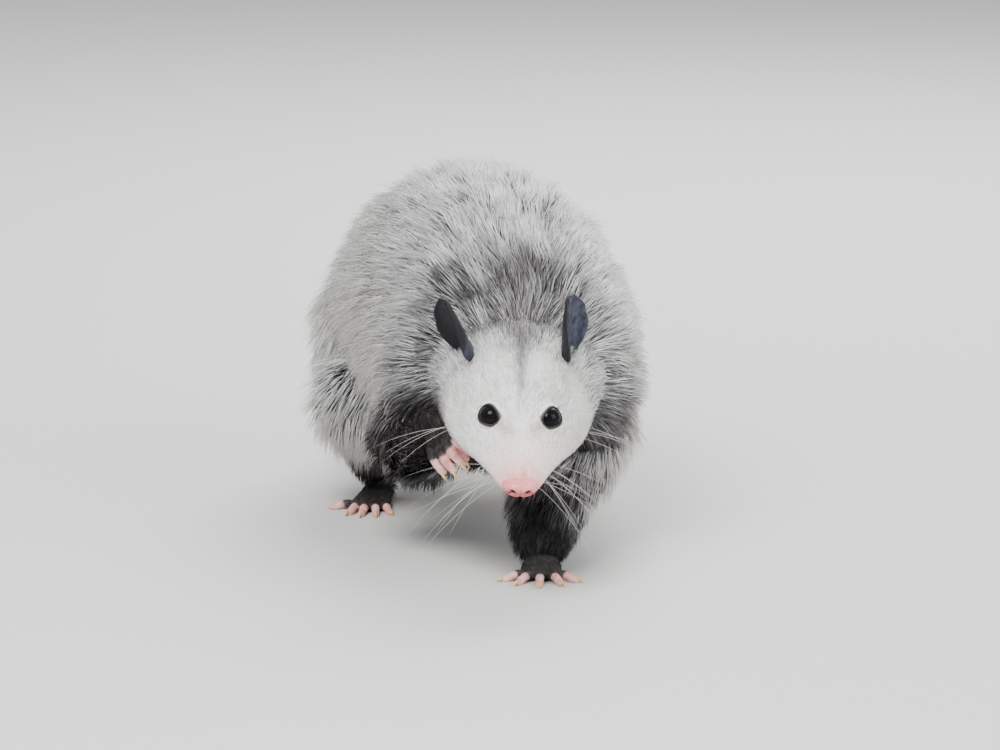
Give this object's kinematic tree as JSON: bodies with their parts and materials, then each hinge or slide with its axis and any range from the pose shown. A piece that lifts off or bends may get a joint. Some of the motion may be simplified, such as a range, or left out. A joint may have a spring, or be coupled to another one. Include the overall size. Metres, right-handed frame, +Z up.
{
  "type": "virginia opossum, walking",
  "caption": "Life-size walking opossum with lowered white face, black leaf-shaped ears, grizzled coat, one lifted forepaw and a long bare tail curled on the floor.",
  "frame": {"origin": "middle of the bounding box, on the floor", "axes": "+Z up, the animal walks towards -Y with its tail towards +Y, and its left side is +X"},
  "size_m": [0.1914, 0.5778, 0.1936],
  "materials": {
    "face_fur": "short white fur",
    "coat": "long grizzled fur, dark at the root and white at the tip",
    "leg_fur": "short black fur",
    "pink_skin": "bare pink skin",
    "nose_skin": "bare moist skin",
    "ear_skin": "thin bare skin with a soft sheen",
    "tail_skin": "scaly skin with sparse hairs",
    "eye": "wet and glossy",
    "claw": "horn"
  },
  "bodies": {
    "root": {"eye_left": "eye", "eye_right": "eye", "nose": "nose_skin", "head": "face_fur", "jaw": "face_fur", "ear_left": "ear_skin", "ear_right": "ear_skin", "hand_left": "pink_skin", "hand_right": "pink_skin", "foot_left": "pink_skin", "foot_right": "pink_skin", "claw_hand_left_1": "claw", "claw_hand_left_2": "claw", "claw_hand_left_3": "claw", "claw_hand_left_4": "claw", "claw_hand_left_5": "claw", "claw_hand_right_1": "claw", "claw_hand_right_2": "claw", "claw_hand_right_3": "claw", "claw_hand_right_4": "claw", "claw_hand_right_5": "claw", "claw_foot_left_2": "claw", "claw_foot_left_3": "claw", "claw_foot_left_4": "claw", "claw_foot_left_5": "claw", "claw_foot_right_2": "claw", "claw_foot_right_3": "claw", "claw_foot_right_4": "claw", "claw_foot_right_5": "claw", "neck": "coat", "chest": "coat", "loin": "coat", "rump": "coat", "thigh_left": "coat", "thigh_right": "coat", "foreleg_left": "leg_fur", "foreleg_right": "leg_fur", "shank_left": "leg_fur", "shank_right": "leg_fur", "tail_1": "tail_skin", "tail_2": "tail_skin", "tail_3": "tail_skin", "tail_4": "tail_skin"}
  },
  "joints": []
}
